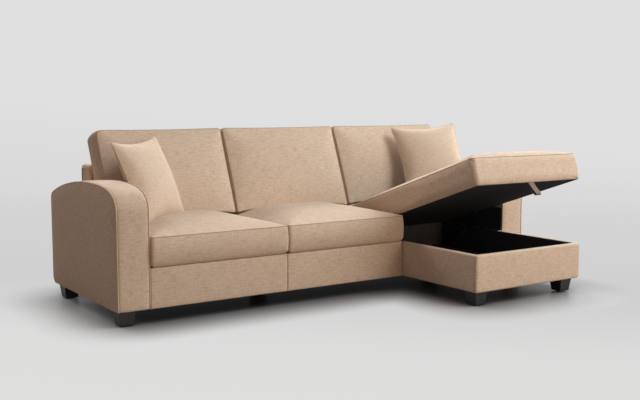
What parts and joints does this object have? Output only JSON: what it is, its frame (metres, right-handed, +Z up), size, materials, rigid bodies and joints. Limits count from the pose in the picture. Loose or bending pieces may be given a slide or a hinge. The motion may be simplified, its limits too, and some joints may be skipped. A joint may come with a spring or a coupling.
{
  "type": "storage sofa with lift up seat",
  "caption": "Corner sofa with rolled-top arms, loose seat, back and throw cushions, and a chaise whose padded seat lifts on a rear hinge over a storage box.",
  "frame": {"origin": "on the floor, under the middle of the sofa's overall box with the lid open and the pull tab hanging forward", "axes": "+X along the width towards the chaise side, +Y towards the back, +Z up"},
  "size_m": [2.596, 1.5519, 0.8997],
  "materials": {
    "linen_fabric": "woven linen look, matte",
    "linen_fabric_sides": "woven linen look, matte",
    "throw_fabric": "woven linen look, matte",
    "timber": "plain sawn softwood and plywood",
    "black_lining": "black nonwoven lining",
    "tab_webbing": "folded fabric strap",
    "foot_wood": "black stained, satin",
    "glide_plastic": "moulded plastic glide",
    "strut_black": "black painted cylinder",
    "steel": "zinc plated"
  },
  "bodies": {
    "sofa_frame": {"foot_front_left": "foot_wood", "foot_rear_left": "foot_wood", "foot_chaise_left": "foot_wood", "foot_chaise_right": "foot_wood", "foot_front_right": "foot_wood", "foot_rear_right": "foot_wood", "foot_centre": "foot_wood", "foot_studs": "steel", "foot_glides": "glide_plastic", "mounting_blocks": "timber", "seat_front_rail": "timber", "seat_rear_rail": "timber", "seat_cross_rails": "timber", "seat_webbing": "black_lining", "seat_deck": "black_lining", "base_front_cover": "linen_fabric", "underside_cloth": "black_lining", "back_posts": "timber", "back_top_rail": "timber", "back_pad": "linen_fabric", "back_outer_cover": "linen_fabric_sides", "left_arm_frame": "timber", "left_arm_border": "linen_fabric", "left_arm_covers": "linen_fabric_sides", "left_arm_piping": "linen_fabric", "right_arm_frame": "timber", "right_arm_border": "linen_fabric", "right_arm_covers": "linen_fabric_sides", "right_arm_piping": "linen_fabric", "connector_bolts": "steel", "box_front_board": "timber", "box_side_boards": "timber", "box_rear_board": "timber", "box_floor": "timber", "box_lining": "black_lining", "chaise_front_cover": "linen_fabric", "chaise_side_covers": "linen_fabric_sides", "chaise_rear_boards": "timber", "rear_seat_block": "linen_fabric", "hinge_box_leaves": "steel", "hinge_pins": "steel", "strut_box_brackets": "steel"},
    "lid": {"lid_board": "timber", "lid_rear_rail": "timber", "lid_lining": "black_lining", "lid_cushion": "linen_fabric", "hinge_lid_leaves": "steel", "strut_lid_brackets": "steel"},
    "pull_tab": {"pull_tab": "tab_webbing"},
    "strut_tube_left": {"strut_tube_left": "strut_black"},
    "strut_tube_right": {"strut_tube_right": "strut_black"},
    "strut_rod_left": {"strut_rod_left": "steel"},
    "strut_rod_right": {"strut_rod_right": "steel"},
    "seat_cushion_left": {"seat_cushion_left": "linen_fabric"},
    "seat_cushion_right": {"seat_cushion_right": "linen_fabric"},
    "back_cushion_left": {"back_cushion_left": "linen_fabric"},
    "back_cushion_centre": {"back_cushion_centre": "linen_fabric"},
    "back_cushion_right": {"back_cushion_right": "linen_fabric"},
    "throw_cushion_left": {"throw_cushion_left": "throw_fabric"},
    "throw_cushion_right": {"throw_cushion_right": "throw_fabric"}
  },
  "joints": [
    {"name": "lid_hinge", "type": "hinge", "parent": "sofa_frame", "child": "lid", "pos_m": [0.75, 0.36195, 0.381], "axis": [-1, 0, 0], "range_deg": [-18.3, 0]},
    {"name": "pull_tab_flex", "type": "hinge", "parent": "lid", "child": "pull_tab", "pos_m": [0.75, -0.71612, 0.61494], "axis": [1, 0, 0], "range_deg": [-60, 15], "stiffness_Nm_per_rad": 0.3},
    {"name": "strut_left_swing", "type": "hinge", "parent": "sofa_frame", "child": "strut_tube_left", "pos_m": [0.413, 0.24995, 0.135], "axis": [1, 0, 0], "range_deg": [0, 14.18]},
    {"name": "strut_left_slide", "type": "slide", "parent": "strut_tube_left", "child": "strut_rod_left", "axis": [0, -0.7173, 0.6968], "range_m": [-0.0852, 0]},
    {"name": "strut_right_swing", "type": "hinge", "parent": "sofa_frame", "child": "strut_tube_right", "pos_m": [1.087, 0.24995, 0.135], "axis": [1, 0, 0], "range_deg": [0, 14.18]},
    {"name": "strut_right_slide", "type": "slide", "parent": "strut_tube_right", "child": "strut_rod_right", "axis": [0, -0.7173, 0.6968], "range_m": [-0.0852, 0]},
    {"name": "seat_left_lift", "type": "slide", "parent": "sofa_frame", "child": "seat_cushion_left", "axis": [0, 0, 1], "range_m": [0, 0.45]},
    {"name": "back_left_lift", "type": "slide", "parent": "seat_cushion_left", "child": "back_cushion_left", "axis": [0, 0.3714, 0.9285], "range_m": [0, 0.45]},
    {"name": "throw_left_lift", "type": "slide", "parent": "back_cushion_left", "child": "throw_cushion_left", "axis": [0.303, -0.5051, 0.8081], "range_m": [0, 0.35]},
    {"name": "seat_right_lift", "type": "slide", "parent": "sofa_frame", "child": "seat_cushion_right", "axis": [0, 0, 1], "range_m": [0, 0.45]},
    {"name": "back_centre_lift", "type": "slide", "parent": "seat_cushion_right", "child": "back_cushion_centre", "axis": [0, 0.3714, 0.9285], "range_m": [0, 0.45]},
    {"name": "back_right_lift", "type": "slide", "parent": "sofa_frame", "child": "back_cushion_right", "axis": [0, 0.3714, 0.9285], "range_m": [0, 0.45]},
    {"name": "throw_right_lift", "type": "slide", "parent": "lid", "child": "throw_cushion_right", "axis": [-0.303, -0.5051, 0.8081], "range_m": [0, 0.35]}
  ],
  "couplings": [
    {"joint": "strut_left_swing", "follows": "lid_hinge", "ratio": -0.75987},
    {"joint": "strut_left_slide", "follows": "lid_hinge", "m_per_rad": 0.26153},
    {"joint": "strut_right_swing", "follows": "lid_hinge", "ratio": -0.75987},
    {"joint": "strut_right_slide", "follows": "lid_hinge", "m_per_rad": 0.26153}
  ]
}
